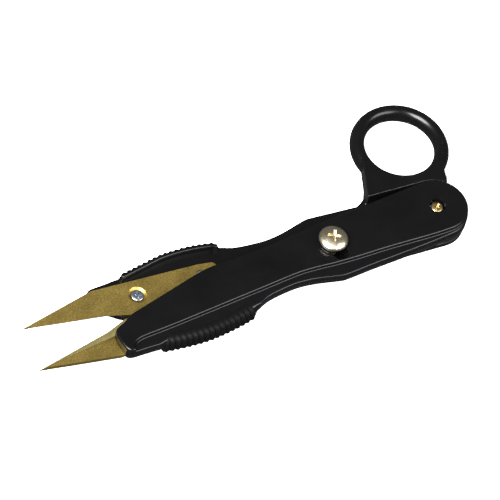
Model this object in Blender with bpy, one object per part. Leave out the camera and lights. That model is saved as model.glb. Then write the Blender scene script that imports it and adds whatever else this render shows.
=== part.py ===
"""Thread snips: two black moulded levers on one rear pivot, held open by a torsion spring.

The ring lever lies underneath and carries the finger ring. The cover lever lies on top and
is the same lever turned over, half a turn about its own length, without the ring.
All sizes are in millimetres and become metres where a mesh is made. Each lever is drawn
closed, with the pivot axis at the origin and the blades towards -X, and its empty then
swings it open about the pivot.
"""
import math

import bmesh
import bpy
from mathutils import Matrix, Vector

MM = 0.001

# Driving dimensions
THICKNESS = 8.0            # whole body, underside to top face
MID = THICKNESS / 2        # the two levers meet either side of this height
GAP = 0.3                  # running gap between pieces that touch or slide
OPEN_ANGLE = 3.5           # degrees that each lever stands open from the closed line
PLATE_STEP = 1.0           # raised plate above the ledge round it
BODY_FLOOR = MID + GAP / 2  # mating face of the cover lever
LEDGE = THICKNESS - PLATE_STEP
LIP_FLOOR = 5.8            # underside of the lip that covers the other lever's pad
LIP_REACH = 2.8            # how far that lip stands out over the recess, at its rear
BOSS_RADIUS = 8.3
PLATE_BOSS_RADIUS = 8.0

# Finger pad
PAD_FLOOR = 2.5
PAD_RIM = 1.1
PAD_FRONT, PAD_REAR = -89.7, -61.0
RIB_COUNT = 17
RIB_DEPTH = 0.45
RIB_START, RIB_END = -89.2, -62.0

# Finger ring
RING_CENTRE = (-0.3, 22.2)
RING_INNER, RING_OUTER = 9.4, 13.4
RING_LOW, RING_HIGH = 1.7, 6.6
NECK_LOW, NECK_HIGH = 1.0, 7.6
NECK_WALL = 8.8            # wall of the neck, clear of the cover lever's edge
NECK_ARC = 8.7             # the same wall where it runs round the boss

# Blades
BLADE_THICKNESS = 1.0
BLADE_POCKET_GAP = 0.3
BLADE_SCREW = (-87.7, 0.4)
BLADE_PEG = (-68.6, 1.9)
BLADE_PEG_RADIUS = 0.8
BLADE_HEAD_RADIUS = 1.9
BLADE_SINK_RADIUS = 2.6
RING_BLADE_SHIFT = (0.0, 0.0)
COVER_BLADE_SHIFT = (-2.4, 0.8)   # this blade sits further out, and towards its cutting side

# Pivot
PIVOT_HEAD_RADIUS = 1.7
PIVOT_HEAD_LOW, PIVOT_HEAD_HIGH = 6.2, 7.2
PIVOT_RECESS_RADIUS = 2.25
PIVOT_RECESS_FLOOR = 4.9
PIVOT_SHOULDER_RADIUS = 1.0
PIVOT_BORE_RADIUS = 1.3
PIVOT_THREAD_RADIUS = 0.8
PIVOT_THREAD_END = 1.4

# Guide screw, fixed in the ring lever and running in a slot in the cover lever
GUIDE_RADIUS = 32.3        # from the pivot axis
GUIDE_REST_ANGLE = 180.4   # where it stands when the snips are open, degrees round the pivot
GUIDE_HEAD_RADIUS = 4.0
GUIDE_HEAD_HIGH = 11.0
GUIDE_WASHER_HIGH = 8.8
GUIDE_SLOT_WIDTH = 4.4
GUIDE_BUSH_RADIUS = 1.85
GUIDE_SHANK_RADIUS = 1.2
GUIDE_STOP_GAP = 0.35

# Torsion spring
SPRING_RADIUS = 4.3
SPRING_WIRE = 0.4
SPRING_TURNS = 2.5
SPRING_LOW, SPRING_HIGH = 2.3, 5.1
SPRING_LEG = 13.0
SPRING_POCKET = (3.4, 5.3)
SPRING_POCKET_LOW, SPRING_POCKET_HIGH = 1.5, 5.9

BLACK = (0.012, 0.012, 0.014, 1.0)
GOLD = (0.30, 0.22, 0.06, 1.0)
BRASS = (0.72, 0.55, 0.25, 1.0)
ZINC = (0.55, 0.58, 0.62, 1.0)
NICKEL = (0.72, 0.66, 0.50, 1.0)
STEEL = (0.45, 0.45, 0.46, 1.0)


# ---------------------------------------------------------------- materials and scene

def clear_scene():
    for item in list(bpy.data.objects):
        bpy.data.objects.remove(item, do_unlink=True)


def material(name, colour, roughness, metallic):
    surface = bpy.data.materials.new(name)
    surface.use_nodes = True
    shader = surface.node_tree.nodes["Principled BSDF"]
    shader.inputs["Base Color"].default_value = colour
    shader.inputs["Roughness"].default_value = roughness
    shader.inputs["Metallic"].default_value = metallic
    return surface


def place(item, parent, surface=None):
    bpy.context.scene.collection.objects.link(item)
    item.parent = parent
    if surface is not None:
        item.data.materials.append(surface)
    return item


def hinge_empty(name, degrees):
    empty = bpy.data.objects.new(name, None)
    empty.rotation_euler = (0.0, 0.0, math.radians(degrees))
    return place(empty, None)


def hide_tool(item):
    item.hide_render = True
    item.display_type = "WIRE"


def combine(target, tool, operation):
    change = target.modifiers.new(operation.title() + " " + tool.name, "BOOLEAN")
    change.operation = operation
    change.solver = "EXACT"
    change.object = tool
    hide_tool(tool)


# ---------------------------------------------------------------- outlines

def arc(centre, radius, start, end, steps):
    """Points on a circle from start to end, in degrees, both ends included."""
    points = []
    for index in range(steps + 1):
        angle = math.radians(start + (end - start) * index / steps)
        points.append((centre[0] + radius * math.cos(angle), centre[1] + radius * math.sin(angle)))
    return points


def smooth(points, steps):
    """A curve through the points, with the given number of steps between each pair."""
    padded = [points[0]] + list(points) + [points[-1]]
    result = []
    for index in range(len(points) - 1):
        a, b, c, d = (Vector(p) for p in padded[index:index + 4])
        for step in range(steps):
            t = step / steps
            point = 0.5 * (2 * b + (c - a) * t + (2 * a - 5 * b + 4 * c - d) * t ** 2
                           + (3 * b - a - 3 * c + d) * t ** 3)
            result.append(tuple(point))
    result.append(tuple(points[-1]))
    return result


OUTER_KEYS = [(-36.0, -8.0), (-41.0, -6.4), (-44.6, -5.6), (-48.9, -5.2), (-55.9, -5.6),
              (-60.3, -6.9), (-62.9, -8.2), (-69.5, -8.8), (-76.7, -8.9), (-83.5, -8.1),
              (-90.1, -6.85), (-93.0, -6.5), (-95.5, -6.25), (-99.4, -5.8)]
PLATE_KEYS = [(-12.0, -6.9), (-20.0, -6.0), (-28.0, -5.3), (-35.0, -4.5), (-40.0, -3.7),
              (-46.0, -3.1), (-58.0, -3.15), (-70.0, -3.2), (-82.0, -3.3), (-88.0, -3.35),
              (-92.0, -3.4), (-95.5, -3.4), (-97.0, -3.6), (-99.2, -3.9)]
COVER_NOSE_INNER = [(-100.5, 1.1), (-99.6, 2.2), (-96.4, 3.3), (-94.1, 4.45)]
RING_NOSE_INNER = [(-100.4, -0.3), (-98.9, 0.0), (-96.4, 1.5), (-93.8, 3.6)]
INNER_KEYS = [(-89.4, 5.3), (-80.2, 6.8), (-71.1, 8.3), (-66.0, 8.7), (-60.0, 8.2),
              (-50.0, 7.8), (-40.0, 8.1)]
RECESS_START, RECESS_FULL, RECESS_END = -96.0, -66.0, -52.0
RECESS_RAMP = 6.0


def nose():
    return smooth([(-100.8, -4.4), (-101.0, -2.6), (-100.9, -0.4)], 2)


def boss(radius):
    return arc((0.0, 0.0), radius, 90.0, -90.0, 24)


def inner_edge(inset, flip):
    """The edge on the cutting side; it is set back where it clears the other lever's pad."""
    start = RING_NOSE_INNER if flip else COVER_NOSE_INNER
    edge = smooth(start + INNER_KEYS, 2)
    moved = []
    for x, y in edge:
        growing = (x - RECESS_START) / (RECESS_FULL - RECESS_START)
        ending = (RECESS_END - x) / RECESS_RAMP
        moved.append((x, y - inset * max(0.0, min(1.0, growing, ending))))
    return moved + [(-34.0, 8.4)]


def lever_outline(keys, corner, boss_radius, inset, flip):
    """One level of a lever, run round from the outer corner by the nose and the boss."""
    return [corner] + smooth(keys, 2) + nose() + inner_edge(inset, flip) + boss(boss_radius)


# ---------------------------------------------------------------- solids

def mesh_object(name, shape, flip):
    """A mesh object in metres; flip turns it over about the lever's length."""
    bmesh.ops.remove_doubles(shape, verts=shape.verts, dist=1e-4)
    bmesh.ops.recalc_face_normals(shape, faces=shape.faces)
    if flip:
        turn = Matrix.Rotation(math.pi, 4, "X")
        bmesh.ops.transform(shape, matrix=turn, verts=shape.verts)
        bmesh.ops.translate(shape, vec=(0.0, 0.0, THICKNESS), verts=shape.verts)
    bmesh.ops.scale(shape, vec=(MM, MM, MM), verts=shape.verts)
    data = bpy.data.meshes.new(name)
    shape.to_mesh(data)
    shape.free()
    data.shade_smooth()
    data.set_sharp_from_angle(angle=math.radians(35.0))
    return bpy.data.objects.new(name, data)


def stacked(name, levels, flip=False):
    """A closed body through outlines of one length at given heights: [(z, outline), ...]."""
    shape = bmesh.new()
    rings = [[shape.verts.new((x, y, z)) for x, y in outline] for z, outline in levels]
    count = len(rings[0])
    shape.faces.new(rings[0])
    shape.faces.new(rings[-1])
    for low, high in zip(rings, rings[1:]):
        for index in range(count):
            after = (index + 1) % count
            shape.faces.new((low[index], low[after], high[after], high[index]))
    return mesh_object(name, shape, flip)


def prism(name, outline, low, high, flip=False):
    return stacked(name, [(low, outline), (high, outline)], flip)


def turned(name, profile, centre=(0.0, 0.0), steps=24, flip=False):
    """A solid of revolution about a vertical axis; the profile is closed, as (radius, z)."""
    shape = bmesh.new()
    rings = []
    for radius, z in profile:
        if radius == 0.0:
            rings.append([shape.verts.new((centre[0], centre[1], z))] * steps)
        else:
            circle = arc(centre, radius, 0.0, 360.0, steps)[:-1]
            rings.append([shape.verts.new((x, y, z)) for x, y in circle])
    for low, high in zip(rings, rings[1:] + rings[:1]):
        for index in range(steps):
            after = (index + 1) % steps
            corners = (low[index], low[after], high[after], high[index])
            distinct = list(dict.fromkeys(corners))
            if len(distinct) > 2:
                shape.faces.new(distinct)
    return mesh_object(name, shape, flip)


def rod(name, radius, low, high, centre=(0.0, 0.0), steps=24, flip=False):
    return turned(name, [(0.0, low), (radius, low), (radius, high), (0.0, high)], centre, steps, flip)


def tube(name, inner, outer, low, high, centre=(0.0, 0.0), steps=24, flip=False):
    profile = [(inner, low), (outer, low), (outer, high), (inner, high)]
    return turned(name, profile, centre, steps, flip)


# ---------------------------------------------------------------- levers

def lever_body(name, flip):
    corner = (-34.0, -8.5)
    plate_corner = (-6.0, -7.5)
    recessed = lever_outline(OUTER_KEYS, corner, BOSS_RADIUS, LIP_REACH, flip)
    lipped = lever_outline(OUTER_KEYS, corner, BOSS_RADIUS, 0.0, flip)
    raised = lever_outline(PLATE_KEYS, plate_corner, PLATE_BOSS_RADIUS, 0.0, flip)
    levels = [(BODY_FLOOR, recessed), (LIP_FLOOR, recessed), (LIP_FLOOR, lipped),
              (LEDGE, lipped), (LEDGE, raised), (THICKNESS, raised)]
    return stacked(name, levels, flip)


def pad_solid(name, flip):
    """The ribbed finger pad: a rounded rim that hangs past the mating face."""
    path = [point for point in smooth(OUTER_KEYS, 2) if PAD_FRONT < point[0] < PAD_REAR]
    path.reverse()
    ends = path[0], path[-1]
    face = []
    steps = RIB_COUNT * 4
    for index in range(steps + 1):
        x = RIB_START + (RIB_END - RIB_START) * index / steps
        y = height_on(path, x) - 0.15 - RIB_DEPTH * 0.5 * (1 - math.cos(math.pi * index / 2))
        face.append((x, y))
    inner = [(x, y + PAD_RIM) for x, y in reversed(path)]
    outline = [ends[0]] + face + [ends[1]] + inner
    top = [(x, y + 0.9) for x, y in outline]
    return stacked(name, [(PAD_FLOOR, outline), (5.9, outline), (LEDGE - 0.2, top)], flip)


def height_on(path, x):
    """The path's y at x, for a path whose x rises."""
    for (x0, y0), (x1, y1) in zip(path, path[1:]):
        if x0 <= x <= x1:
            return y0 + (y1 - y0) * (x - x0) / (x1 - x0)
    return path[-1][1]


def blade_outline(grow, shift):
    """The blade seen from above, for the cover lever; grow widens it for its pocket."""
    edge = [(-121.9, 0.3), (-98.3, 3.2), (-91.8, 4.9), (-84.0, 3.6), (-70.0, 0.5)]
    tail = arc((-64.9, -2.6), 1.5 + grow, 60.0, -75.0, 5)
    spine = [(-68.2, -4.5), (-99.2, -5.3)]
    outline = [(x, y + grow) for x, y in edge] + tail + [(x, y - grow) for x, y in spine]
    return [(x + shift[0], y + shift[1]) for x, y in outline]


def arc_slot(name, low, high):
    """The slot that the guide screw runs in, cut through the cover lever."""
    closed = GUIDE_REST_ANGLE + OPEN_ANGLE
    rest = GUIDE_REST_ANGLE - OPEN_ANGLE
    half = GUIDE_SLOT_WIDTH / 2
    reach = math.degrees((GUIDE_STOP_GAP + GUIDE_BUSH_RADIUS - half) / GUIDE_RADIUS)
    start, end = rest - reach, closed + reach
    first = polar(GUIDE_RADIUS, start)
    last = polar(GUIDE_RADIUS, end)
    outline = arc((0.0, 0.0), GUIDE_RADIUS + half, start, end, 4)
    outline += arc(last, half, end, end + 180.0, 8)[1:-1]
    outline += arc((0.0, 0.0), GUIDE_RADIUS - half, end, start, 4)
    outline += arc(first, half, start + 180.0, start + 360.0, 8)[1:-1]
    return prism(name, outline, low, high)


def polar(radius, degrees):
    angle = math.radians(degrees)
    return radius * math.cos(angle), radius * math.sin(angle)


def blade_pocket(name, shift, flip):
    """The recess in the mating face that the blade lies in."""
    depth = BLADE_THICKNESS + BLADE_POCKET_GAP
    outline = blade_outline(BLADE_POCKET_GAP, shift)
    return prism(name, outline, BODY_FLOOR - 0.5, BODY_FLOOR + depth, flip)


def blade_assembly(prefix, lever_solid, parent, looks, shift, flip):
    """One blade with its countersunk screw, the insert that it holds in and its locating peg."""
    low = BODY_FLOOR
    high = low + BLADE_THICKNESS
    centre = (shift[0] + BLADE_SCREW[0], shift[1] - BLADE_SCREW[1])
    peg_centre = (shift[0] + BLADE_PEG[0], shift[1] - BLADE_PEG[1])
    body = prism(prefix + "_blade", blade_outline(0.0, shift), low, high, flip)
    place(body, parent, looks["blade_gold"])
    sink = turned(prefix + "_blade_sink", [(0.0, low - 0.2), (BLADE_SINK_RADIUS + 0.2, low - 0.2),
                                           (1.5, high + 0.2), (0.0, high + 0.2)], centre, 24, flip)
    peg_hole = rod(prefix + "_peg_hole", BLADE_PEG_RADIUS + GAP, low - 0.5, high + 1.8, peg_centre, 16, flip)
    bore = rod(prefix + "_insert_bore", 2.2, low, high + 2.3, centre, 16, flip)
    for target, tool in ((body, sink), (body, peg_hole), (lever_solid, peg_hole), (lever_solid, bore)):
        if tool.parent is None:
            place(tool, parent)
        combine(target, tool, "DIFFERENCE")
    screw = turned(prefix + "_blade_screw", [(0.0, low), (BLADE_HEAD_RADIUS, low), (1.0, high),
                                             (1.0, high + 1.5), (0.0, high + 1.5)], centre, 20, flip)
    place(screw, parent, looks["screw_zinc"])
    cross_recess(screw, prefix, parent, centre, (low, 0.5), (1.1, 0.35), flip)
    insert = tube(prefix + "_blade_insert", 1.3, 1.9, high + 0.55, high + 2.0, centre, 16, flip)
    place(insert, parent, looks["brass"])
    peg = rod(prefix + "_blade_peg", BLADE_PEG_RADIUS, low + 0.1, high + 1.5, peg_centre, 16, flip)
    place(peg, parent, looks["steel"])


def cross_recess(screw, prefix, parent, centre, depth, size, flip):
    """A cross recess in the outer face of a screw head."""
    level, sunk = depth
    length, width = size
    for index in range(2):
        turn = math.radians(30.0 + 90.0 * index)
        along = Vector((math.cos(turn), math.sin(turn)))
        side = Vector((-along.y, along.x)) * width / 2
        ends = (along * length + side, along * -length + side, along * -length - side,
                along * length - side)
        outline = [(centre[0] + p.x, centre[1] + p.y) for p in ends]
        low, high = sorted((level + sunk, level - sunk))
        tool = prism("%s_cross_%d" % (prefix, index), outline, low, high, flip)
        place(tool, parent)
        combine(screw, tool, "DIFFERENCE")


def lever(name, parent, surface, flip, shift):
    body = place(lever_body(name, flip), parent, surface)
    pad = place(pad_solid(name + "_pad", flip), parent)
    combine(body, pad, "UNION")
    pocket = place(blade_pocket(name + "_blade_pocket", shift, flip), parent)
    combine(body, pocket, "DIFFERENCE")
    return body


def leg_groove(name, leg_side, low, high):
    half = 2.3 * SPRING_WIRE
    y = leg_side * SPRING_RADIUS
    outline = [(-SPRING_LEG - 0.8, y - half), (-0.5, y - half), (-0.5, y + half),
               (-SPRING_LEG - 0.8, y + half)]
    return prism(name, outline, low, high)


def ring_and_neck(body, parent):
    hoop = turned("ring_hoop", ring_section(), RING_CENTRE, 40)
    neck = prism("ring_neck", neck_outline(), NECK_LOW, NECK_HIGH)
    root = prism("ring_root", root_outline(), NECK_LOW, MID - GAP / 2 - 0.1)
    for tool in (root, neck, hoop):
        place(tool, parent)
        combine(body, tool, "UNION")


def ring_section():
    """The rounded section of the finger ring, as (radius, z)."""
    middle = (RING_INNER + RING_OUTER) / 2
    half = (RING_OUTER - RING_INNER) / 2
    height = (RING_HIGH - RING_LOW) / 2
    centre = (RING_HIGH + RING_LOW) / 2
    section = []
    for index in range(10):
        angle = 2 * math.pi * index / 10
        section.append((middle + half * math.cos(angle), centre + height * math.sin(angle)))
    return section


def neck_outline():
    """The neck between the wall beside the cover lever and the middle of the ring."""
    middle = (RING_INNER + RING_OUTER) / 2
    left = smooth([(-16.7, NECK_WALL), (-15.9, 10.6), (-14.9, 13.4), (-13.8, 16.8), (-12.6, 20.0)], 2)
    top = arc(RING_CENTRE, middle, 195.0, 345.0, 18)
    right = smooth([(11.2, 19.0), (9.4, 14.4), (8.5, 11.7), (7.2, 7.4)], 3)
    wall = arc((0.0, 0.0), NECK_ARC + 0.1, 44.0, 98.0, 8)
    return left + top + right + wall


def root_outline():
    """The part of the neck below the cover lever, run into the boss."""
    left = [(-22.0, 7.0), (-19.6, 8.5), (-17.6, 9.5), (-15.9, 11.0)]
    right = [(8.2, 9.2), (6.2, 5.0)]
    return left + arc((0.0, 0.0), NECK_ARC + 0.8, 100.0, 50.0, 6) + right


# ---------------------------------------------------------------- pivot, guide and spring

def pivot_parts(ring_empty, looks):
    """The screw, its collar, the thrust washer and the threaded insert on the pivot axis."""
    profile = [(0.0, PIVOT_THREAD_END), (PIVOT_THREAD_RADIUS, PIVOT_THREAD_END),
               (PIVOT_THREAD_RADIUS, 3.0), (PIVOT_SHOULDER_RADIUS, 3.0),
               (PIVOT_SHOULDER_RADIUS, PIVOT_HEAD_LOW), (PIVOT_HEAD_RADIUS, PIVOT_HEAD_LOW),
               (PIVOT_HEAD_RADIUS, PIVOT_HEAD_HIGH - 0.3), (PIVOT_HEAD_RADIUS - 0.3, PIVOT_HEAD_HIGH),
               (0.0, PIVOT_HEAD_HIGH)]
    screw = place(turned("pivot_screw", profile, (0.0, 0.0), 20), ring_empty, looks["brass"])
    cross_recess(screw, "pivot", ring_empty, (0.0, 0.0), (PIVOT_HEAD_HIGH, 0.5), (1.1, 0.4), False)
    insert = tube("pivot_insert", PIVOT_THREAD_RADIUS + GAP, 1.7, 1.2, 2.9, (0.0, 0.0), 16)
    place(insert, ring_empty, looks["brass"])
    collar = tube("pivot_collar", PIVOT_BORE_RADIUS, 1.95, 5.2, 5.9, (0.0, 0.0), 20)
    place(collar, ring_empty, looks["steel"])
    washer = tube("pivot_thrust_washer", PIVOT_BORE_RADIUS, 2.6, 3.75, 4.25, (0.0, 0.0), 20)
    place(washer, ring_empty, looks["steel"])


def pivot_bores(ring_lever, cover_lever, ring_empty, cover_empty):
    lower = turned("pivot_insert_bore", [(0.0, 1.1), (2.0, 1.1), (2.0, 3.15), (1.3, 3.15), (1.3, 3.45),
                                         (2.9, 3.45), (2.9, 4.4), (0.0, 4.4)], (0.0, 0.0), 20)
    upper = turned("pivot_recess", [(0.0, 3.8), (2.9, 3.8), (2.9, 4.55), (PIVOT_BORE_RADIUS, 4.55),
                                    (PIVOT_BORE_RADIUS, PIVOT_RECESS_FLOOR),
                                    (PIVOT_RECESS_RADIUS, PIVOT_RECESS_FLOOR),
                                    (PIVOT_RECESS_RADIUS, 8.6), (0.0, 8.6)], (0.0, 0.0), 24)
    for tool, target, empty in ((lower, ring_lever, ring_empty), (upper, cover_lever, cover_empty)):
        combine(target, place(tool, empty), "DIFFERENCE")


def spring_path():
    """The wire's centre line with the levers open: leg, turns and leg, as points."""
    steps = 14
    total = int(SPRING_TURNS * steps)
    lean = math.radians(OPEN_ANGLE)
    points = [Vector((-SPRING_LEG, SPRING_RADIUS, SPRING_LOW))]
    points.append(Vector((-SPRING_LEG / 2, SPRING_RADIUS, SPRING_LOW)))
    for index in range(total + 1):
        share = index / total
        angle = math.radians(90.0) - share * (2 * math.pi * SPRING_TURNS)
        height = SPRING_LOW + (SPRING_HIGH - SPRING_LOW) * share
        points.append(Vector((SPRING_RADIUS * math.cos(angle), SPRING_RADIUS * math.sin(angle), height)))
    points.append(Vector((-SPRING_LEG / 2, -SPRING_RADIUS, SPRING_HIGH)))
    points.append(Vector((-SPRING_LEG, -SPRING_RADIUS, SPRING_HIGH)))
    opened = []
    for index, point in enumerate(points):
        share = min(1.0, max(0.0, (index - 2) / total))
        opened.append(Matrix.Rotation(-lean + 2 * lean * share, 4, "Z") @ point)
    return opened


def torsion_spring(looks):
    curve = bpy.data.curves.new("torsion_spring", "CURVE")
    curve.dimensions = "3D"
    curve.bevel_depth = SPRING_WIRE * MM
    curve.bevel_resolution = 2
    curve.use_fill_caps = True
    points = spring_path()
    spline = curve.splines.new("POLY")
    spline.points.add(len(points) - 1)
    for knot, point in zip(spline.points, points):
        knot.co = (point.x * MM, point.y * MM, point.z * MM, 1.0)
    return place(bpy.data.objects.new("torsion_spring", curve), None, looks["steel"])


def spring_pockets(ring_lever, cover_lever, ring_empty, cover_empty):
    inner, outer = SPRING_POCKET
    low = (SPRING_POCKET_LOW, MID + 0.3)
    high = (MID - 0.3, SPRING_POCKET_HIGH)
    for target, empty, side, level in ((ring_lever, ring_empty, 1, low),
                                       (cover_lever, cover_empty, -1, high)):
        name = target.name + "_spring"
        combine(target, place(tube(name + "_pocket", inner, outer, level[0], level[1]), empty),
                "DIFFERENCE")
        combine(target, place(leg_groove(name + "_groove", side, level[0] + 0.05, level[1] - 0.05),
                              empty), "DIFFERENCE")


def guide_parts(ring_empty, looks):
    """The guide screw with its washer, slot bush and nut, fixed in the ring lever."""
    centre = polar(GUIDE_RADIUS, GUIDE_REST_ANGLE + OPEN_ANGLE)
    rim = GUIDE_WASHER_HIGH + 0.3
    dome = [(0.0, 0.9), (GUIDE_SHANK_RADIUS, 0.9), (GUIDE_SHANK_RADIUS, rim),
            (GUIDE_HEAD_RADIUS - 0.2, rim), (GUIDE_HEAD_RADIUS, rim + 0.3)]
    rise = GUIDE_HEAD_HIGH - rim - 0.3
    for index in range(1, 6):
        angle = math.radians(90.0 * index / 6)
        dome.append((GUIDE_HEAD_RADIUS * math.cos(angle), rim + 0.3 + rise * math.sin(angle)))
    dome.append((0.0, GUIDE_HEAD_HIGH))
    screw = place(turned("guide_screw", dome, centre, 28), ring_empty, looks["nickel"])
    cross_recess(screw, "guide", ring_empty, centre, (GUIDE_HEAD_HIGH, 1.0), (2.0, 0.6), False)
    washer = tube("guide_washer", 1.5, 3.6, 8.3, GUIDE_WASHER_HIGH, centre, 28)
    place(washer, ring_empty, looks["steel"])
    bush = tube("guide_bush", 1.5, GUIDE_BUSH_RADIUS, MID + GAP, 8.0, centre, 20)
    place(bush, ring_empty, looks["brass"])
    hexagon = turned("guide_nut", [(1.5, 0.6), (2.75, 0.6), (2.75, 2.2), (1.5, 2.2)], centre, 6)
    place(hexagon, ring_empty, looks["steel"])
    return centre


def guide_bores(ring_lever, cover_lever, ring_empty, cover_empty, centre):
    bore = rod("guide_bore", 1.5, -0.3, MID + 0.5, centre, 20)
    pocket = turned("guide_nut_pocket", [(0.0, -0.3), (3.15, -0.3), (3.15, 2.5), (0.0, 2.5)], centre, 6)
    slot = arc_slot("guide_slot", MID - 0.3, THICKNESS + 0.3)
    combine(ring_lever, place(pocket, ring_empty), "DIFFERENCE")
    combine(ring_lever, place(bore, ring_empty), "DIFFERENCE")
    combine(cover_lever, place(slot, cover_empty), "DIFFERENCE")


def palette():
    return {"body_black": material("body_black", BLACK, 0.22, 0.0),
            "blade_gold": material("blade_gold", GOLD, 0.45, 1.0),
            "brass": material("brass", BRASS, 0.3, 1.0),
            "screw_zinc": material("screw_zinc", ZINC, 0.3, 1.0),
            "nickel": material("nickel", NICKEL, 0.25, 1.0),
            "steel": material("steel", STEEL, 0.35, 1.0)}


def main():
    clear_scene()
    looks = palette()
    ring_empty = hinge_empty("ring_lever_hinge", -OPEN_ANGLE)
    cover_empty = hinge_empty("cover_lever_hinge", OPEN_ANGLE)
    ring_lever = lever("ring_lever", ring_empty, looks["body_black"], True, RING_BLADE_SHIFT)
    ring_and_neck(ring_lever, ring_empty)
    cover_lever = lever("cover_lever", cover_empty, looks["body_black"], False, COVER_BLADE_SHIFT)
    sides = ((ring_lever, "ring", ring_empty, RING_BLADE_SHIFT, True),
             (cover_lever, "cover", cover_empty, COVER_BLADE_SHIFT, False))
    for target, prefix, empty, shift, flip in sides:
        blade_assembly(prefix, target, empty, looks, shift, flip)
    spring_pockets(ring_lever, cover_lever, ring_empty, cover_empty)
    pivot_bores(ring_lever, cover_lever, ring_empty, cover_empty)
    pivot_parts(ring_empty, looks)
    centre = guide_parts(ring_empty, looks)
    guide_bores(ring_lever, cover_lever, ring_empty, cover_empty, centre)
    torsion_spring(looks)
    bpy.context.view_layer.update()


main()
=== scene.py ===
"""Looks of the thread snips: fine moulded levers, ground blades, screws, spring and studio.

Sizes are in millimetres and become metres where a mesh is made. Both levers are drawn closed,
as the upper one lies, and the ring lever's pieces are turned over about the lever's length.
Each side is then swung open about the pivot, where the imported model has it.
"""
import math

import bmesh
import bpy
from mathutils import Matrix, Vector


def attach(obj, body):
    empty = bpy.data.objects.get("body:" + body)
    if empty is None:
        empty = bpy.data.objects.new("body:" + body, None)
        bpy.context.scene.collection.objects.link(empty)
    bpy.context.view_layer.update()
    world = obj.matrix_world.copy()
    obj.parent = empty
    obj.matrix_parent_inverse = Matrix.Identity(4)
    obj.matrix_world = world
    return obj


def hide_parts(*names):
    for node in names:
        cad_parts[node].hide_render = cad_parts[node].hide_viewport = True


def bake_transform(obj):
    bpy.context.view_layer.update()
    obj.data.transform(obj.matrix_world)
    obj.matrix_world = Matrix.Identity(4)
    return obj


MM = 0.001
THICKNESS = 8.0
MATING = 4.15              # the upper lever's mating face
LEDGE = 7.0
LIP_FLOOR = 5.8
LIP_REACH = 2.8
OPEN_ANGLE = 3.5
RING_LEVER_SWELL = 0.9
BOSS_RADIUS = 8.3

PAD_FRONT, PAD_REAR = -91.6, -59.6
RIB_FRONT, RIB_REAR = -89.8, -61.6
RIB_COUNT = 17
RIB_DEPTH = 0.42
PAD_SHOULDER = 2.4         # how far the pad's rounded top runs in from its edge
PAD_BULGE_Z = 4.6
PAD_FLOOR = 2.5
PAD_REAR_EASE, PAD_FRONT_EASE = 4.0, 5.0
PAD_TUCK = 0.3             # how far the shell is drawn in under the pad
PAD_SKIRT = MATING + 0.3   # below this the pad hangs past the mating face
RIM_THIN, RIM_THICK = 0.45, 1.25
RIM_LINE = 5.45            # the rim's inner wall stands here, from the lever's long axis

RING_CENTRE = (-0.3, 22.2)
RING_INNER, RING_OUTER = 9.45, 13.4
RING_LOW, RING_HIGH = 1.7, 6.7
NECK_LOW, NECK_HIGH = 1.0, 7.5
NECK_WALL, NECK_ARC = 8.48, 8.42
NECK_SHELF = 3.85          # top of the neck's wider lower part
NECK_OVERLAP = 3.0         # where the raised part starts, inside the lower one
VOXEL = 0.22

BLADE_THICKNESS = 1.0
POCKET_GAP = 0.18
GROUND_TILT = (0.2, 0.97)  # the bevel faces' normals lie between these in z
GROUND_REAR = -93.5        # and they lie forward of the screws
POCKET_DEPTH = 1.25
BLADE_SCREW = (-87.7, 0.4)
BLADE_PEG = (-68.6, 1.9)
COVER_BLADE_REACH = 2.4
COVER_BLADE_RISE = 0.8

GUIDE_RADIUS = 32.3
GUIDE_REST_ANGLE = 180.4
GUIDE_SLOT_WIDTH = 4.4
SPRING_RADIUS, SPRING_WIRE, SPRING_TURNS = 4.3, 0.4, 2.5
SPRING_LOW, SPRING_HIGH = 2.3, 5.1
SPRING_LEG = 13.0

OUTER_KEYS = [(0.0, -8.3), (-8.0, -8.33), (-16.0, -8.37), (-25.0, -8.43), (-32.5, -8.48),
              (-34.6, -8.3), (-37.0, -7.6), (-41.0, -6.4), (-44.6, -5.6), (-48.9, -5.2),
              (-55.9, -5.6), (-60.3, -6.9), (-62.9, -8.0), (-69.5, -8.75), (-76.7, -8.9),
              (-83.5, -8.1), (-90.1, -6.85), (-93.0, -6.5), (-95.5, -6.25), (-98.6, -6.0)]
PLATE_KEYS = [(0.0, -8.05), (-6.0, -7.6), (-12.0, -6.9), (-20.0, -6.0), (-28.0, -5.3),
              (-35.0, -4.5), (-40.0, -3.7), (-46.0, -3.1), (-58.0, -3.15), (-70.0, -3.2),
              (-82.0, -3.25), (-89.0, -3.2), (-94.0, -3.1), (-96.2, -3.35), (-97.7, -3.95),
              (-98.6, -4.8)]
NOSE_KEYS = [(-98.6, -6.0), (-99.9, -5.6), (-100.7, -4.5), (-101.0, -2.6), (-100.95, -0.4)]
INNER_KEYS = [(-89.4, 5.3), (-80.2, 6.8),
              (-71.1, 8.3), (-66.0, 8.7), (-60.0, 8.2), (-50.0, 7.8), (-40.0, 8.1),
              (-34.0, 8.4), (-24.0, 8.38), (-12.0, 8.34), (0.0, 8.3)]
COVER_NOSE_INNER = [(-100.95, -0.4), (-100.5, 1.1), (-99.6, 2.2), (-96.4, 3.3), (-94.1, 4.45)]
RING_NOSE_INNER = [(-100.95, -0.4), (-100.4, -0.3), (-98.9, 0.0), (-96.4, 1.5), (-93.8, 3.6)]
RECESS_START, RECESS_FULL, RECESS_END, RECESS_RAMP = -96.0, -66.0, -52.0, 6.0
RING_SIDE, COVER_SIDE = "ring_side", "cover_side"
# Side, prefix, turned over, and how far the blade lies out and towards its cutting side.
LEVERS = ((RING_SIDE, "ring", True, 0.0, 0.0),
          (COVER_SIDE, "cover", False, COVER_BLADE_REACH, COVER_BLADE_RISE))


# ---------------------------------------------------------------- curves

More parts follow.
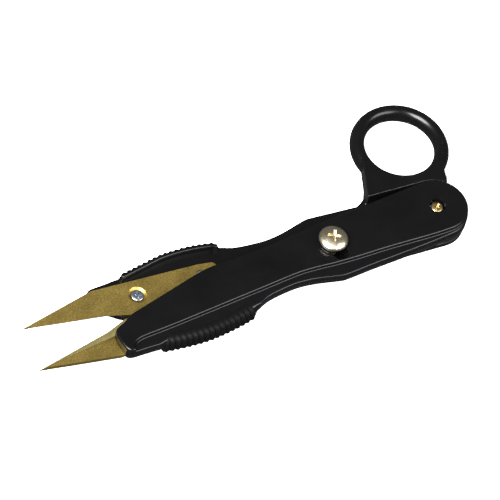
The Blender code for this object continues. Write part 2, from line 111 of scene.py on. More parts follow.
def arc(centre, radius, start, end, steps):
    points = []
    for index in range(steps + 1):
        angle = math.radians(start + (end - start) * index / steps)
        points.append(Vector((centre[0] + radius * math.cos(angle), centre[1] + radius * math.sin(angle))))
    return points


def smooth(points, steps):
    """A curve through the points, with the given number of steps between each pair."""
    padded = [points[0]] + list(points) + [points[-1]]
    result = []
    for index in range(len(points) - 1):
        a, b, c, d = (Vector(p) for p in padded[index:index + 4])
        for step in range(steps):
            t = step / steps
            result.append(0.5 * (2 * b + (c - a) * t + (2 * a - 5 * b + 4 * c - d) * t ** 2
                                 + (3 * b - a - 3 * c + d) * t ** 3))
    result.append(Vector(points[-1]))
    return result


def resample(path, count):
    """The path as count points at equal spacing, both ends included."""
    lengths = [0.0]
    for before, after in zip(path, path[1:]):
        lengths.append(lengths[-1] + (after - before).length)
    result = []
    segment = 0
    for index in range(count):
        wanted = lengths[-1] * index / (count - 1)
        while segment < len(path) - 2 and lengths[segment + 1] < wanted:
            segment += 1
        span = lengths[segment + 1] - lengths[segment]
        share = (wanted - lengths[segment]) / span if span else 0.0
        result.append(path[segment].lerp(path[segment + 1], share))
    return result


def inward_normals(outline):
    """Unit normals that point into a closed outline, averaged over its neighbours."""
    count = len(outline)
    area = sum(a.x * b.y - b.x * a.y for a, b in zip(outline, outline[1:] + outline[:1]))
    sign = 1.0 if area > 0 else -1.0
    normals = []
    for index in range(count):
        along = (outline[(index + 1) % count] - outline[index - 1]).normalized()
        normals.append(Vector((-along.y, along.x)) * sign)
    return normals


def ease(value):
    value = max(0.0, min(1.0, value))
    return value * value * (3.0 - 2.0 * value)


def polar(radius, degrees):
    angle = math.radians(degrees)
    return Vector((radius * math.cos(angle), radius * math.sin(angle)))


# ---------------------------------------------------------------- mesh makers

def finish_mesh(name, shape, side, flip, sharp=40.0):
    """A mesh in metres, turned over if asked and swung to its side's place at rest."""
    bmesh.ops.remove_doubles(shape, verts=shape.verts, dist=1e-4)
    bmesh.ops.recalc_face_normals(shape, faces=shape.faces)
    move = Matrix.Identity(4)
    if flip:
        move = Matrix.Translation((0.0, 0.0, THICKNESS)) @ Matrix.Rotation(math.pi, 4, "X")
    swing = {RING_SIDE: -OPEN_ANGLE, COVER_SIDE: OPEN_ANGLE}.get(side, 0.0)
    move = Matrix.Rotation(math.radians(swing), 4, "Z") @ move
    bmesh.ops.transform(shape, matrix=Matrix.Scale(MM, 4) @ move, verts=shape.verts)
    data = bpy.data.meshes.new(name)
    shape.to_mesh(data)
    shape.free()
    data.shade_smooth()
    data.set_sharp_from_angle(angle=math.radians(sharp))
    item = bpy.data.objects.new(name, data)
    bpy.context.scene.collection.objects.link(item)
    return item


def stacked(name, rings, side, flip, sharp=40.0):
    """A closed body through rings of one length; each ring is a list of 3-D points."""
    shape = bmesh.new()
    made = [[shape.verts.new(point) for point in ring] for ring in rings]
    count = len(rings[0])
    shape.faces.new(made[0])
    shape.faces.new(made[-1])
    for low, high in zip(made, made[1:]):
        for index in range(count):
            after = (index + 1) % count
            shape.faces.new((low[index], low[after], high[after], high[index]))
    return finish_mesh(name, shape, side, flip, sharp)


def prism(name, outline, low, high, side, flip):
    rings = [[(p[0], p[1], z) for p in outline] for z in (low, high)]
    return stacked(name, rings, side, flip)


def turned(name, profile, centre, steps, side, flip, sharp=40.0):
    """A solid of revolution about a vertical axis; the profile is closed, as (radius, z)."""
    shape = bmesh.new()
    rings = []
    for radius, z in profile:
        if radius == 0.0:
            rings.append([shape.verts.new((centre[0], centre[1], z))] * steps)
        else:
            circle = arc(centre, radius, 0.0, 360.0, steps)[:-1]
            rings.append([shape.verts.new((p.x, p.y, z)) for p in circle])
    for low, high in zip(rings, rings[1:] + rings[:1]):
        for index in range(steps):
            after = (index + 1) % steps
            corners = list(dict.fromkeys((low[index], low[after], high[after], high[index])))
            if len(corners) > 2:
                shape.faces.new(corners)
    return finish_mesh(name, shape, side, flip, sharp)


def apply_modifiers(item):
    """Bakes the object's modifiers into its mesh."""
    bpy.context.view_layer.update()
    evaluated = item.evaluated_get(bpy.context.evaluated_depsgraph_get())
    data = bpy.data.meshes.new_from_object(evaluated)
    item.modifiers.clear()
    item.data = data


def carve(item, tools, operation="DIFFERENCE", sharp=40.0):
    """Cuts the tools out of the item, or joins them on, and removes them."""
    for tool in tools:
        change = item.modifiers.new("carve", "BOOLEAN")
        change.operation = operation
        change.solver = "EXACT"
        change.object = tool
    apply_modifiers(item)
    item.data.shade_smooth()
    item.data.set_sharp_from_angle(angle=math.radians(sharp))
    for tool in tools:
        bpy.data.objects.remove(tool, do_unlink=True)


def dress(item, surface, side, nodes=()):
    """Gives a finished piece its material and its body, and hides the nodes that it stands for."""
    item.data.materials.clear()
    item.data.materials.append(surface)
    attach(item, side)
    if nodes:
        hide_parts(*nodes)
    return item


# ---------------------------------------------------------------- levers

def pad_presence(x):
    """1 where the finger pad stands on the lever's outer side, easing to 0 at its ends."""
    return ease((x - PAD_FRONT) / PAD_FRONT_EASE) * ease((PAD_REAR - x) / PAD_REAR_EASE)


def pad_inset(z):
    """How far in from the pad's edge its rounded top lies at a height."""
    rise = max(0.0, min(1.0, (z - PAD_BULGE_Z) / (LEDGE - 0.05 - PAD_BULGE_Z)))
    return PAD_SHOULDER * (1.0 - math.sqrt(1.0 - rise * rise))


def outer_keys(flip):
    """The outer edge; the cover lever's is fuller at the boss and the ring lever's by its pad."""
    if not flip:
        return [(x, y - 0.7 * ease((x + 32.0) / 26.0)) for x, y in OUTER_KEYS]
    return [(x, y - RING_LEVER_SWELL * ease((x + 86.0) / 16.0) * ease((-6.0 - x) / 44.0))
            for x, y in OUTER_KEYS]


def lever_bases(flip):
    """Outlines of equal length: outer edge, raised plate, inner setback, and pad side flags."""
    outer = resample(smooth(outer_keys(flip), 8), 260)
    plate = resample(smooth(PLATE_KEYS, 8), 260)
    nose = resample(smooth(NOSE_KEYS, 8), 36)[1:]
    nose_inner = RING_NOSE_INNER if flip else COVER_NOSE_INNER
    inner = resample(smooth(nose_inner + INNER_KEYS, 8), 220)[1:]
    round_end = arc((0.0, 0.0), BOSS_RADIUS, 90.0, -90.0, 72)[1:-1]
    fullness = 0.0 if flip else 0.085
    boss, plate_boss = [], []
    for index, point in enumerate(round_end):
        turned_down = index / len(round_end)
        boss.append(point * (1.0 + fullness * ease((turned_down - 0.62) / 0.38)))
        plate_boss.append(point * (1.0 - 0.03 * ease((turned_down - 0.72) / 0.28)))
    setback = [Vector((0.0, 0.0))] * (len(outer) + len(nose))
    for point in inner:
        growing = (point.x - RECESS_START) / (RECESS_FULL - RECESS_START)
        ending = (RECESS_END - point.x) / RECESS_RAMP
        setback.append(Vector((0.0, -LIP_REACH * max(0.0, min(1.0, growing, ending)))))
    setback += [Vector((0.0, 0.0))] * len(boss)
    pads = [pad_presence(point.x) for point in outer] + [0.0] * (len(nose) + len(inner) + len(boss))
    whole = outer + nose + inner + boss
    return whole, plate + nose + inner + plate_boss, setback, pads


# Each level: height, inset on the pad side, which base it follows there, then the same
# level's height and inset on the cutting side, where the wall runs straight to the top.
WALL = [(MATING, 0.22), (MATING + 0.05, 0.07), (MATING + 0.2, 0.0), (5.7, 0.0)]
TOP_LEVELS = [
    (5.95, 0.0, "outer", 5.95, 0.0), (6.4, 0.0, "outer", 6.6, 0.0),
    (6.70, 0.05, "outer", 7.0, 0.0), (6.87, 0.16, "outer", 7.2, 0.0),
    (6.97, 0.33, "outer", 7.3, 0.0), (7.0, 0.55, "outer", 7.36, 0.0),
    (7.0, -0.42, "plate", 7.4, 0.0), (7.03, -0.24, "plate", 7.42, 0.0),
    (7.12, -0.09, "plate", 7.45, 0.0), (7.3, 0.0, "plate", 7.5, 0.01),
    (7.55, 0.03, "plate", 7.6, 0.04), (7.75, 0.12, "plate", 7.75, 0.12),
    (7.89, 0.25, "plate", 7.89, 0.25), (7.97, 0.41, "plate", 7.97, 0.41),
    (8.0, 0.6, "plate", 8.0, 0.6)]


def lever_shell(name, side, flip):
    outer, plate, setback, pads = lever_bases(flip)
    outer_in, plate_in = inward_normals(outer), inward_normals(plate)
    count = len(outer)
    rings = []
    for z, inset in WALL:
        ring = []
        for index in range(count):
            extra = inset + PAD_TUCK * pads[index]
            point = outer[index] + setback[index] + outer_in[index] * extra
            ring.append((point.x, point.y, z))
        rings.append(ring)
    rings.append([(p.x + s.x * 0.98, p.y + s.y * 0.98, LIP_FLOOR) for p, s in zip(outer, setback)])
    lip = [outer[i] + outer_in[i] * (0.2 + 0.4 * pads[i]) for i in range(count)]
    rings.append([(p.x, p.y, LIP_FLOOR + 0.02) for p in lip])
    for z_out, inset_out, base, z_in, inset_in in TOP_LEVELS:
        ring = []
        for index in range(count):
            step = ease((outer[index] - plate[index]).length / 1.2)
            pad_extra = pads[index] * (pad_inset(z_out) + PAD_TUCK)
            if base == "outer":
                stepped = outer[index] + outer_in[index] * (inset_out + pad_extra)
            else:
                stepped = plate[index] + plate_in[index] * inset_out
            plain = outer[index].lerp(plate[index], ease((z_in - 6.9) / 0.5)) + outer_in[index] * inset_in
            point = plain.lerp(stepped, step)
            ring.append((point.x, point.y, z_in + (z_out - z_in) * step))
        rings.append(ring)
    return stacked(name, rings, side, flip, 50.0)


def rib_height(x):
    """The ribs' wave along the pad, 1 at a crest and 0 in a groove."""
    if not RIB_FRONT < x < RIB_REAR:
        return 0.0
    turn = (x - RIB_FRONT) / (RIB_REAR - RIB_FRONT) * RIB_COUNT
    return 0.5 - 0.5 * math.cos(2.0 * math.pi * turn)


def pad_section(edge_y):
    """The pad's section as (distance in from its edge, height, share of the ribs)."""
    rim = max(RIM_THIN, min(RIM_THICK, -edge_y - RIM_LINE))
    section = [(rim, 5.6, 0.0), (rim, 3.1, 0.0), (rim - 0.06, 2.78, 0.0), (rim - 0.22, 2.56, 0.0),
               (rim * 0.5, 2.5, 0.0), (0.22, 2.56, 0.3), (0.07, 2.76, 0.8), (0.0, 3.1, 1.0),
               (-0.03, 3.6, 1.0), (-0.03, 4.1, 1.0)]
    for index in range(13):
        angle = math.radians(7.5 * index)
        height = PAD_BULGE_Z + (LEDGE - 0.02 - PAD_BULGE_Z) * math.sin(angle)
        share = 1.0 - ease((index - 8) / 4.0)
        section.append((PAD_SHOULDER * (1.0 - math.cos(angle)), height, share))
    section += [(PAD_SHOULDER + 0.7, LEDGE - 0.04, 0.0), (PAD_SHOULDER + 0.7, 5.7, 0.0)]
    return section


def finger_pad(name, side, flip):
    """The ribbed pad, swept along the lever's outer edge."""
    path = [p for p in resample(smooth(outer_keys(flip), 8), 520) if PAD_FRONT < p.x < PAD_REAR]
    path = resample(path, RIB_COUNT * 12 + 60)
    shape = bmesh.new()
    rings = []
    for index, point in enumerate(path):
        along = (path[min(index + 1, len(path) - 1)] - path[max(index - 1, 0)]).normalized()
        inward = Vector((along.y, -along.x))
        here = pad_presence(point.x)
        floor = PAD_SKIRT - (PAD_SKIRT - PAD_FLOOR) * ease(here * 3.0)
        ring = []
        for distance, z, ribs in pad_section(point.y):
            shift = distance - RIB_DEPTH * ribs * rib_height(point.x) + (1.0 - ease(here * 3.0)) * 0.25
            place = point + inward * shift
            if z < PAD_SKIRT:
                z = floor + (z - PAD_FLOOR) * (PAD_SKIRT - floor) / (PAD_SKIRT - PAD_FLOOR)
            ring.append(shape.verts.new((place.x, place.y, z)))
        rings.append(ring)
    size = len(rings[0])
    for low, high in zip(rings, rings[1:]):
        for index in range(size):
            after = (index + 1) % size
            shape.faces.new((low[index], low[after], high[after], high[index]))
    shape.faces.new(rings[0])
    shape.faces.new(rings[-1])
    return finish_mesh(name, shape, side, flip, 60.0)


def blade_outline(grow, reach, rise):
    edge = [(-121.9, 0.3), (-98.3, 3.2), (-91.8, 4.9), (-84.0, 3.6), (-70.0, 0.5)]
    tail = [tuple(p) for p in arc((-64.9, -2.6), 1.5 + grow, 60.0, -75.0, 12)]
    spine = [(-68.2, -4.5), (-99.2, -5.3)]
    outline = [(x, y + grow) for x, y in edge] + tail + [(x, y - grow) for x, y in spine]
    return [(x - reach, y + rise) for x, y in outline]


def guide_slot_tool(side, flip):
    """The arc slot that the guide bush runs in, in the cover lever."""
    half = GUIDE_SLOT_WIDTH / 2
    start, end = GUIDE_REST_ANGLE - OPEN_ANGLE, GUIDE_REST_ANGLE + OPEN_ANGLE
    outline = arc((0.0, 0.0), GUIDE_RADIUS + half, start, end, 12)
    outline += arc(polar(GUIDE_RADIUS, end), half, end, end + 180.0, 24)[1:-1]
    outline += arc((0.0, 0.0), GUIDE_RADIUS - half, end, start, 12)
    outline += arc(polar(GUIDE_RADIUS, start), half, start + 180.0, start + 360.0, 24)[1:-1]
    return prism("guide_slot", outline, MATING - 0.4, THICKNESS + 0.4, side, flip)


def bored(centre, side, flip, *profile):
    """A round cutter whose radius changes with height, as (radius, z) steps from the bottom."""
    closed = [(0.0, profile[0][1])] + list(profile) + [(0.0, profile[-1][1])]
    return turned("bore", closed, centre, 48, side, flip)


def blade_fixings(reach, rise):
    """Where the blade's screw and peg stand."""
    return ((BLADE_SCREW[0] - reach, rise - BLADE_SCREW[1]),
            (BLADE_PEG[0] - reach, rise - BLADE_PEG[1]))


def blade_cutters(side, flip, reach, rise):
    screw, peg = blade_fixings(reach, rise)
    outline = blade_outline(POCKET_GAP, reach, rise)
    pocket = prism("pocket", outline, MATING - 0.5, MATING + POCKET_DEPTH, side, flip)
    return [pocket, bored(screw, side, flip, (2.1, 5.0), (2.1, 7.3)),
            bored(peg, side, flip, (1.0, 5.0), (1.0, 6.8))]


def spring_cutters(side, leg_side, low, high):
    """The round pocket for the coil, and the groove for one leg."""
    ring = [(3.4, low), (5.3, low), (5.3, high), (3.4, high)]
    pocket = turned("spring_pocket", ring, (0.0, 0.0), 48, side, False)
    half, y = 0.92, leg_side * SPRING_RADIUS
    outline = [(-SPRING_LEG - 0.8, y - half), (-0.5, y - half), (-0.5, y + half),
               (-SPRING_LEG - 0.8, y + half)]
    return [pocket, prism("spring_groove", outline, low + 0.03, high - 0.03, side, False)]


def neck_outline(left_keys):
    """The neck, from the wall beside the cover lever to the middle of the ring."""
    middle = (RING_INNER + RING_OUTER) / 2
    left = smooth(left_keys, 6)
    top = arc(RING_CENTRE, middle, 190.0, 350.0, 64)
    right = smooth([(10.2, 17.6), (8.6, 14.6), (7.6, 12.0), (6.9, 9.9), (6.6, 8.0)], 6)
    wall = arc((0.0, 0.0), NECK_ARC, 46.0, 92.0, 24)
    return left + top + right + wall


def ring_section():
    """The rounded section of the finger ring, as (radius, z)."""
    middle, half = (RING_INNER + RING_OUTER) / 2, (RING_OUTER - RING_INNER) / 2
    centre, rise = (RING_HIGH + RING_LOW) / 2, (RING_HIGH - RING_LOW) / 2
    section = []
    for index in range(28):
        angle = 2.0 * math.pi * index / 28
        section.append((middle + half * math.cos(angle), centre + rise * math.sin(angle)))
    return section


def ring_and_neck():
    """Finger ring and neck as one soft-edged moulding."""
    hoop = turned("finger_ring", ring_section(), RING_CENTRE, 128, RING_SIDE, False)
    low_keys = [(-21.0, 8.0), (-19.6, 8.5), (-17.6, 9.5), (-15.9, 11.0), (-14.4, 13.6), (-13.2, 16.8),
                (-12.0, 20.4)]
    high_keys = [(-16.6, NECK_WALL), (-15.9, 10.6), (-14.9, 13.4), (-13.8, 16.8), (-12.4, 20.4)]
    low_neck = prism("low_neck", neck_outline(low_keys), NECK_LOW, NECK_SHELF, RING_SIDE, False)
    high_neck = prism("high_neck", neck_outline(high_keys), NECK_OVERLAP, NECK_HIGH, RING_SIDE, False)
    gathered = bmesh.new()
    for item in (hoop, low_neck, high_neck):
        gathered.from_mesh(item.data)
    gathered.to_mesh(hoop.data)
    gathered.free()
    for item in (low_neck, high_neck):
        bpy.data.objects.remove(item)
    remesh = hoop.modifiers.new("even", "REMESH")
    remesh.mode = "VOXEL"
    remesh.voxel_size = VOXEL * MM
    soften = hoop.modifiers.new("soften", "SMOOTH")
    soften.factor = 0.5
    soften.iterations = 7
    apply_modifiers(hoop)
    hoop.data.shade_smooth()
    return hoop


def make_levers(black, pad_black):
    for side, prefix, flip, reach, rise in LEVERS:
        shell = lever_shell(prefix + "_lever_moulding", side, flip)
        cutters = blade_cutters(side, flip, reach, rise)
        if side == COVER_SIDE:
            cutters += cover_lever_cutters()
        else:
            cutters += ring_lever_cutters()
        carve(shell, cutters, sharp=50.0)
        dress(shell, black, side, (prefix + "_lever",))
        pad = finger_pad(prefix + "_finger_pad", side, flip)
        dress(pad, black if side == RING_SIDE else pad_black, side)
    dress(ring_and_neck(), black, RING_SIDE)


def cover_lever_cutters():
    recess = bored((0.0, 0.0), COVER_SIDE, False, (2.9, 3.8), (2.9, 4.55), (1.3, 4.55), (1.3, 4.9),
                   (2.2, 4.9), (2.2, 8.5))
    return [recess, guide_slot_tool(COVER_SIDE, False)] + spring_cutters(COVER_SIDE, -1, 3.7, 5.9)


def ring_lever_cutters():
    guide = polar(GUIDE_RADIUS, GUIDE_REST_ANGLE + OPEN_ANGLE)
    pivot = bored((0.0, 0.0), RING_SIDE, False, (2.0, 1.1), (2.0, 3.15), (1.3, 3.15), (1.3, 3.45),
                  (2.9, 3.45), (2.9, 4.4))
    shank = bored(guide, RING_SIDE, False, (1.5, -0.4), (1.5, 4.6))
    hexagon = turned("nut_pocket", [(0.0, -0.4), (3.05, -0.4), (3.05, 2.5), (0.0, 2.5)], guide, 6,
                     RING_SIDE, False)
    return [pivot, hexagon, shank] + spring_cutters(RING_SIDE, 1, 1.5, 4.3)


# ---------------------------------------------------------------- blades

def blade_solid(name, side, flip, reach, rise):
    """A flat pointed blade with a bevel ground along its cutting edge on the outer face."""
    outline = [Vector(p) for p in blade_outline(0.0, reach, rise)]
    low, high = MATING, MATING + BLADE_THICKNESS
    edge_count = 3
    outer_face = list(outline)
    bevels = (0.0, 2.3, 2.6)
    inward = inward_normals(outline)
    for index in range(edge_count):
        outer_face[index] = outline[index] + inward[index] * bevels[index]
    outer_face[0] = outline[0] + Vector((1.6, -0.25))
    rings = [[(p.x, p.y, low) for p in outline],
             [(p.x, p.y, low + 0.14) for p in outline],
             [(p.x, p.y, high) for p in outer_face]]
    rings[2][3] = (outline[3].x, outline[3].y, high)
    return stacked(name, rings, side, flip, 20.0)


def countersink(side, flip, centre):
    low, high = MATING, MATING + BLADE_THICKNESS
    return bored(centre, side, flip, (2.75, low - 0.15), (2.6, low), (1.35, high - 0.1), (1.35, high + 0.2))


def soften_edges(item, width, segments=3, angle=35.0):
    bevel = item.modifiers.new("soft edges", "BEVEL")
    bevel.width = width * MM
    bevel.segments = segments
    bevel.limit_method = "ANGLE"
    bevel.angle_limit = math.radians(angle)
    apply_modifiers(item)
    item.data.shade_smooth()
    item.data.set_sharp_from_angle(angle=math.radians(50.0))


def paint_ground_faces(blade, ground):
    """The cutting bevel is brighter than the coated face."""
    blade.data.materials.append(ground)
    for face in blade.data.polygons:
        slanted = GROUND_TILT[0] < abs(face.normal.z) < GROUND_TILT[1]
        if slanted and face.center.x < GROUND_REAR * MM:
            face.material_index = 1


def make_blades(gold, ground, zinc, steel):
    for side, prefix, flip, reach, rise in LEVERS:
        screw, peg = blade_fixings(reach, rise)
        blade = blade_solid(prefix + "_blade_ground", side, flip, reach, rise)
        cutters = [countersink(side, flip, screw), bored(peg, side, flip, (0.95, 3.9), (0.95, 5.4))]
        carve(blade, cutters, sharp=20.0)
        dress(blade, gold, side, (prefix + "_blade",))
        paint_ground_faces(blade, ground)
        head = blade_screw(prefix, side, flip, screw)
        dress(head, zinc, side, (prefix + "_blade_screw",))
        low = MATING
        profile = [(0.0, low + 0.02), (0.6, low + 0.02), (0.72, low + 0.06), (0.8, low + 0.2),
                   (0.8, low + 2.4), (0.0, low + 2.4)]
        pin = turned(prefix + "_locating_peg", profile, peg, 32, side, flip)
        dress(pin, steel, side, (prefix + "_blade_peg",))


def cross_tool(centre, level, reach, width, depth, degrees, side, flip, direction):
    """Two tapered bars that cut a cross recess; direction is +1 where the head faces up."""
    tools = []
    for turn in (degrees, degrees + 90.0):
        along = polar(1.0, turn)
        across = Vector((-along.y, along.x))
        rings = []
        for share, z in ((1.25, level + direction * 0.9), (1.0, level), (0.45, level - direction * depth)):
            ring = []
            for s, t in ((1, 1), (-1, 1), (-1, -1), (1, -1)):
                narrow = 0.75 if share < 1.0 else 1.0
                point = Vector(centre) + along * (s * reach * share) + across * (t * width / 2 * narrow)
                ring.append((point.x, point.y, z))
            rings.append(ring)
        tools.append(stacked("cross", rings, side, flip))
    return tools


def blade_screw(prefix, side, flip, centre):
    low, high = MATING, MATING + BLADE_THICKNESS
    profile = [(0.0, low - 0.06), (1.1, low - 0.04), (1.58, low + 0.02), (1.7, low + 0.1),
               (1.64, low + 0.22), (1.0, high), (1.0, high + 1.5), (0.0, high + 1.5)]
    head = turned(prefix + "_blade_screw_head", profile, centre, 64, side, flip)
    carve(head, cross_tool(centre, low + 0.02, 1.15, 0.5, 0.95, 12.0, side, flip, -1))
    return head


# ---------------------------------------------------------------- pivot, guide and spring

def guide_head(nickel, steel, brass):
    centre = polar(GUIDE_RADIUS, GUIDE_REST_ANGLE + OPEN_ANGLE)
    rim = 8.95
    dome = [(0.0, 1.1), (0.9, 1.1), (1.2, 1.4), (1.2, rim), (3.75, rim), (3.95, rim + 0.08),
            (4.0, rim + 0.25)]
    crown = 10.9
    for index in range(1, 15):
        angle = math.radians(90.0 * index / 15)
        dome.append((4.0 * math.cos(angle), rim + 0.25 + (crown - rim - 0.25) * math.sin(angle)))
    dome.append((0.0, crown))
    head = turned("guide_screw_dome", dome, centre, 96, RING_SIDE, False)
    carve(head, cross_tool(centre, crown - 0.05, 1.95, 0.85, 1.3, 62.0, RING_SIDE, False, 1))
    soften_edges(head, 0.06, 2, 40.0)
    dress(head, nickel, RING_SIDE, ("guide_screw",))
    ring = [(1.5, 8.3), (3.45, 8.3), (3.58, 8.38), (3.6, 8.5), (3.58, 8.7), (3.45, 8.78), (1.5, 8.78)]
    washer = turned("guide_screw_washer", ring, centre, 96, RING_SIDE, False)
    dress(washer, steel, RING_SIDE, ("guide_washer",))
    bush = [(1.5, 4.3), (1.75, 4.3), (1.85, 4.4), (1.85, 7.9), (1.75, 8.0), (1.5, 8.0)]
    sleeve = turned("guide_slot_bush", bush, centre, 64, RING_SIDE, False)
    dress(sleeve, brass, RING_SIDE, ("guide_bush",))
    nut = turned("guide_hex_nut", [(1.5, 0.6), (2.62, 0.6), (2.75, 0.72), (2.75, 2.1), (2.62, 2.2),
                                   (1.5, 2.2)], centre, 6, RING_SIDE, False, 20.0)
    soften_edges(nut, 0.08, 2, 25.0)
    dress(nut, steel, RING_SIDE, ("guide_nut",))


def pivot_head(brass):
    profile = [(0.0, 1.4), (0.8, 1.4), (0.8, 3.0), (1.0, 3.0), (1.0, 6.2), (1.6, 6.2), (1.7, 6.3),
               (1.72, 6.8), (1.66, 7.0), (1.45, 7.16), (1.0, 7.26), (0.5, 7.3), (0.0, 7.3)]
    head = turned("pivot_screw_head", profile, (0.0, 0.0), 64, RING_SIDE, False)
    carve(head, cross_tool((0.0, 0.0), 7.27, 1.1, 0.45, 0.8, 40.0, RING_SIDE, False, 1))
    dress(head, brass, RING_SIDE, ("pivot_screw",))


def spring_points():
    """The wire's centre line with the levers open: one leg, the turns and the other leg."""
    steps = 40
    total = int(SPRING_TURNS * steps)
    lean = math.radians(OPEN_ANGLE)
    start = [Vector((-SPRING_LEG * share, SPRING_RADIUS, SPRING_LOW)) for share in (1.0, 0.75, 0.5, 0.25)]
    points = [(0.0, p) for p in start]
    for index in range(total + 1):
        share = index / total
        angle = math.radians(90.0) - share * 2.0 * math.pi * SPRING_TURNS
        z = SPRING_LOW + (SPRING_HIGH - SPRING_LOW) * share
        points.append((share, Vector((SPRING_RADIUS * math.cos(angle), SPRING_RADIUS * math.sin(angle), z))))
    end = [Vector((-SPRING_LEG * share, -SPRING_RADIUS, SPRING_HIGH)) for share in (0.25, 0.5, 0.75, 1.0)]
    points += [(1.0, p) for p in end]
    return [Matrix.Rotation(-lean + 2.0 * lean * share, 3, "Z") @ p for share, p in points]


def make_spring(steel):
    shape = bmesh.new()
    points = spring_points()
    sides = 14
    rings = []
    for index, point in enumerate(points):
        ahead = points[min(index + 1, len(points) - 1)]
        behind = points[max(index - 1, 0)]
        along = (ahead - behind).normalized()
        across = along.cross(Vector((0.0, 0.0, 1.0))).normalized()
        up = across.cross(along).normalized()
        ring = []
        for step in range(sides):
            angle = 2.0 * math.pi * step / sides
            outward = across * math.cos(angle) + up * math.sin(angle)
            ring.append(shape.verts.new(point + outward * SPRING_WIRE))
        rings.append(ring)
    for low, high in zip(rings, rings[1:]):
        for index in range(sides):
            after = (index + 1) % sides
            shape.faces.new((low[index], low[after], high[after], high[index]))
    shape.faces.new(rings[0])
    shape.faces.new(rings[-1])
    spring = finish_mesh("return_spring", shape, "", False)
    spring.data.materials.append(steel)
    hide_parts("torsion_spring")
    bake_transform(spring)


# ---------------------------------------------------------------- materials

def new_material(name, colour, roughness, metallic=0.0):
    surface = bpy.data.materials.new(name)
    surface.use_nodes = True
    shader = surface.node_tree.nodes["Principled BSDF"]
    shader.inputs["Base Color"].default_value = (*colour, 1.0)
    shader.inputs["Roughness"].default_value = roughness
    shader.inputs["Metallic"].default_value = metallic
    return surface, surface.node_tree, shader


def noise(tree, scale, detail, coords=None, roughness=0.5):
    node = tree.nodes.new("ShaderNodeTexNoise")
    node.inputs["Scale"].default_value = scale
    node.inputs["Detail"].default_value = detail
    node.inputs["Roughness"].default_value = roughness
    if coords is None:
        coords = tree.nodes.new("ShaderNodeTexCoord").outputs["Object"]
    tree.links.new(coords, node.inputs["Vector"])
    return node.outputs["Fac"]


def ramp(tree, value, stops):
    node = tree.nodes.new("ShaderNodeValToRGB")
    band = node.color_ramp
    while len(band.elements) < len(stops):
        band.elements.new(0.5)
    for element, (place, colour) in zip(band.elements, stops):
        element.position = place
        element.color = (*colour, 1.0)
    tree.links.new(value, node.inputs["Fac"])
    return node.outputs["Color"]


def grey(level):
    return (level, level, level)


def bump(tree, shader, height, distance, strength):
    node = tree.nodes.new("ShaderNodeBump")
    node.inputs["Distance"].default_value = distance * MM
    node.inputs["Strength"].default_value = strength
    tree.links.new(height, node.inputs["Height"])
    tree.links.new(node.outputs["Normal"], shader.inputs["Normal"])


def gloss_black():
    """Moulded black plastic: soft gloss with faint flow marks and a very fine ripple."""
    surface, tree, shader = new_material("gloss_black_plastic", (0.010, 0.010, 0.011), 0.3)
    shader.inputs["Specular IOR Level"].default_value = 0.28
    flow = noise(tree, 90.0, 4.0)
    tree.links.new(ramp(tree, flow, [(0.3, (0.0018, 0.0018, 0.002)), (0.7, (0.0028, 0.0028, 0.003))]),
                   shader.inputs["Base Color"])
    handled = noise(tree, 260.0, 5.0)
    tree.links.new(ramp(tree, handled, [(0.3, grey(0.2)), (0.75, grey(0.28))]), shader.inputs["Roughness"])
    bump(tree, shader, noise(tree, 1400.0, 3.0), 0.02, 0.25)
    return surface


def textured_black():
    """The finger pads' duller moulded face."""
    surface, tree, shader = new_material("textured_black_plastic", (0.002, 0.002, 0.0022), 0.5)
    shader.inputs["Specular IOR Level"].default_value = 0.08
    grain = noise(tree, 900.0, 5.0)
    tree.links.new(ramp(tree, grain, [(0.3, grey(0.4)), (0.75, grey(0.55))]), shader.inputs["Roughness"])
    bump(tree, shader, grain, 0.02, 0.25)
    return surface


def speckled_gold():
    """Olive gold coating with a fine blasted speckle and faint cloudy patches."""
    surface, tree, shader = new_material("blade_gold_coating", (0.25, 0.17, 0.035), 0.5, 1.0)
    speck = noise(tree, 3800.0, 3.0, roughness=0.7)
    tree.links.new(ramp(tree, speck, [(0.32, (0.23, 0.155, 0.035)), (0.5, (0.36, 0.26, 0.065)),
                                      (0.68, (0.54, 0.41, 0.14))]), shader.inputs["Base Color"])
    cloud = noise(tree, 160.0, 4.0)
    tree.links.new(ramp(tree, cloud, [(0.3, grey(0.44)), (0.7, grey(0.51))]), shader.inputs["Roughness"])
    bump(tree, shader, speck, 0.02, 0.5)
    return surface


def turned_metal(name, colour, roughness, scale=900.0):
    """Plated screw metal with a light grain."""
    surface, tree, shader = new_material(name, colour, roughness, 1.0)
    grain = noise(tree, scale, 4.0, roughness=0.65)
    dark = tuple(c * 0.72 for c in colour)
    tree.links.new(ramp(tree, grain, [(0.3, dark), (0.62, colour)]), shader.inputs["Base Color"])
    tree.links.new(ramp(tree, grain, [(0.3, grey(roughness + 0.1)), (0.7, grey(roughness - 0.05))]),
                   shader.inputs["Roughness"])
    bump(tree, shader, grain, 0.02, 0.3)
    return surface


# ---------------------------------------------------------------- studio

CAMERA_TOWARD = (-0.4063, -0.4449, 0.7996)
CAMERA_RIGHT = (0.8658, -0.4682, 0.1794)
CAMERA_TARGET = (-46.4, 14.1, -7.7)
CAMERA_DISTANCE = 4.8      # metres
CAMERA_FOCAL = 1308.0
FLOOR_GLOW = 0.7
WORLD_LIGHT = 0.12


def area_light(name, place, target, size, power, size_y=None):
    lamp = bpy.data.lights.new(name, "AREA")
    lamp.energy = power
    lamp.size = size
    if size_y is not None:
        lamp.shape = "RECTANGLE"
        lamp.size_y = size_y
    item = bpy.data.objects.new(name, lamp)
    item.location = place
    item.rotation_euler = (Vector(target) - Vector(place)).to_track_quat("-Z", "Y").to_euler()
    bpy.context.scene.collection.objects.link(item)
    return item


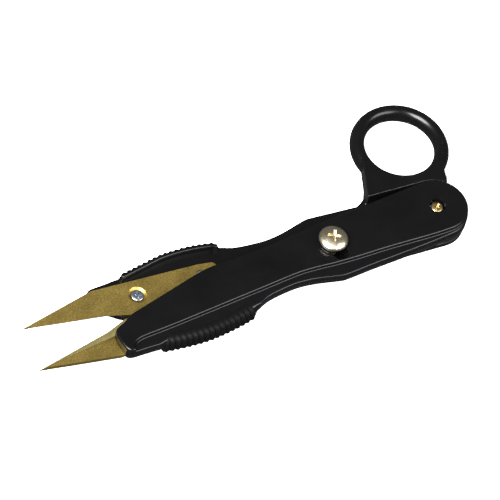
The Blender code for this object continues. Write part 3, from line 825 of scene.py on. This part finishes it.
def make_floor():
    shape = bmesh.new()
    bmesh.ops.create_grid(shape, x_segments=1, y_segments=1, size=3000.0)
    floor = finish_mesh("studio_floor", shape, "", False)
    floor.location = (0.0, 0.0, -0.00005)
    surface, _, shader = new_material("studio_white", (0.9, 0.9, 0.9), 0.9)
    shader.inputs["Specular IOR Level"].default_value = 0.1
    shader.inputs["Emission Color"].default_value = (1.0, 1.0, 1.0, 1.0)
    shader.inputs["Emission Strength"].default_value = FLOOR_GLOW
    floor.data.materials.append(surface)
    floor.visible_glossy = False


def make_world():
    world = bpy.data.worlds.new("studio")
    world.use_nodes = True
    world.node_tree.nodes["Background"].inputs["Color"].default_value = (1.0, 1.0, 1.0, 1.0)
    world.node_tree.nodes["Background"].inputs["Strength"].default_value = WORLD_LIGHT
    bpy.context.scene.world = world


def make_lights():
    middle = (-0.05, 0.0, 0.0)
    area_light("overhead", (-0.9, -0.25, 1.05), middle, 0.9, 82.0, 0.9)
    area_light("edge_strip", (0.33, -0.55, 0.60), middle, 0.7, 9.5, 0.42)
    area_light("left_fill", (-1.0, -0.5, 0.7), middle, 0.5, 2.5)


def make_camera():
    """The camera looks down from the near side, rolled a little, through a long lens."""
    toward = Vector(CAMERA_TOWARD).normalized()
    right = Vector(CAMERA_RIGHT).normalized()
    up = toward.cross(right).normalized()
    target = Vector(CAMERA_TARGET) * MM
    lens = bpy.data.cameras.new("camera")
    lens.sensor_width = 36.0
    lens.lens = CAMERA_FOCAL
    lens.clip_end = 20.0
    camera = bpy.data.objects.new("camera", lens)
    turn = Matrix((right, up, toward)).transposed().to_4x4()
    camera.matrix_world = Matrix.Translation(target + toward * CAMERA_DISTANCE) @ turn
    bpy.context.scene.collection.objects.link(camera)
    bpy.context.scene.camera = camera


def paint_kept_nodes(frame, brass, steel):
    """The hidden CAD pieces keep their shape and get a better finish."""
    for name, surface in (("ring_blade_insert", brass), ("cover_blade_insert", brass),
                          ("pivot_insert", brass), ("pivot_collar", steel),
                          ("pivot_thrust_washer", steel)):
        node = frame["nodes"][name]
        for slot in node.material_slots:
            slot.material = surface


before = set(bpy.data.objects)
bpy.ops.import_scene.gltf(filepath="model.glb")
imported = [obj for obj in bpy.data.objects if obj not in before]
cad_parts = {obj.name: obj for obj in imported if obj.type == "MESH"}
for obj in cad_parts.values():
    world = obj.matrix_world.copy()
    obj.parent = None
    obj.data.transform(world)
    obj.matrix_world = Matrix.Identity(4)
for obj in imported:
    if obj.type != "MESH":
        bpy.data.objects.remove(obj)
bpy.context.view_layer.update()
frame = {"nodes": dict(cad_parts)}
black = gloss_black()
gold = speckled_gold()
ground = turned_metal("ground_gold", (1.0, 0.86, 0.36), 0.42)
pad_black = textured_black()
brass = turned_metal("pale_brass", (0.80, 0.62, 0.30), 0.28)
nickel = turned_metal("warm_nickel", (0.90, 0.79, 0.57), 0.26)
zinc = turned_metal("blue_zinc", (0.62, 0.66, 0.74), 0.3)
steel = turned_metal("bright_steel", (0.6, 0.6, 0.61), 0.35)
make_levers(black, pad_black)
make_blades(gold, ground, zinc, steel)
guide_head(nickel, steel, brass)
pivot_head(brass)
make_spring(steel)
paint_kept_nodes(frame, brass, steel)
make_floor()
make_world()
make_lights()
make_camera()
bpy.context.scene.view_settings.view_transform = "Standard"
